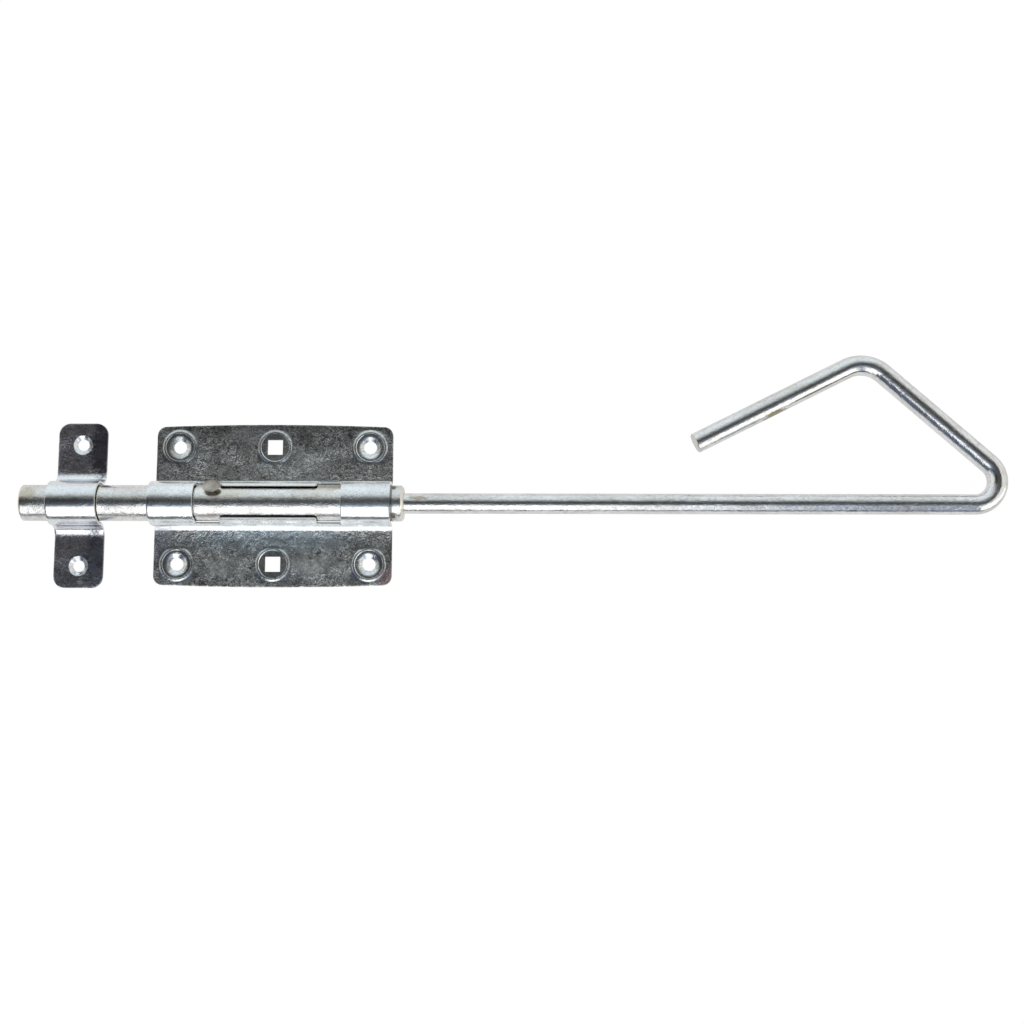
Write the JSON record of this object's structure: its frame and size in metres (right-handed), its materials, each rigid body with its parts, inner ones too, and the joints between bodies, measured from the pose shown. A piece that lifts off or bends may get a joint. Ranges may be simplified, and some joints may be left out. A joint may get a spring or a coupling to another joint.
{
  "type": "long gate bolt",
  "caption": "Long sliding gate bolt: folded sheet plate with a round channel, loose keeper, bolt tube, and a long pull rod bent to an open loop handle.",
  "frame": {"origin": "centre of the mounting plate on its back face, midway between its four corner holes", "axes": "+X along the bolt towards the handle, +Y across the plate towards the side of the handle's loop, +Z out of the wall"},
  "size_m": [0.4788, 0.1147, 0.0206],
  "materials": {
    "plate_zinc": "mottled zinc plating, scratched",
    "keeper_zinc": "zinc plating, scratched",
    "tube_zinc": "zinc plating with a faint beige tint, pitted",
    "rod_zinc": "zinc plating, scratched and pitted",
    "pin_zinc": "zinc plating, dull"
  },
  "bodies": {
    "fixed": {"mounting_plate": "plate_zinc", "keeper": "keeper_zinc"},
    "bolt": {"bolt_tube": "tube_zinc", "stop_pin": "pin_zinc"},
    "handle": {"pull_rod": "rod_zinc"}
  },
  "joints": [
    {"name": "slide", "type": "slide", "parent": "fixed", "child": "bolt", "axis": [1, 0, 0], "range_m": [-0.0065, 0.06]},
    {"name": "turn", "type": "hinge", "parent": "bolt", "child": "handle", "pos_m": [0, 0, 0.00925], "axis": [1, 0, 0], "range_deg": [-3, 183]}
  ]
}
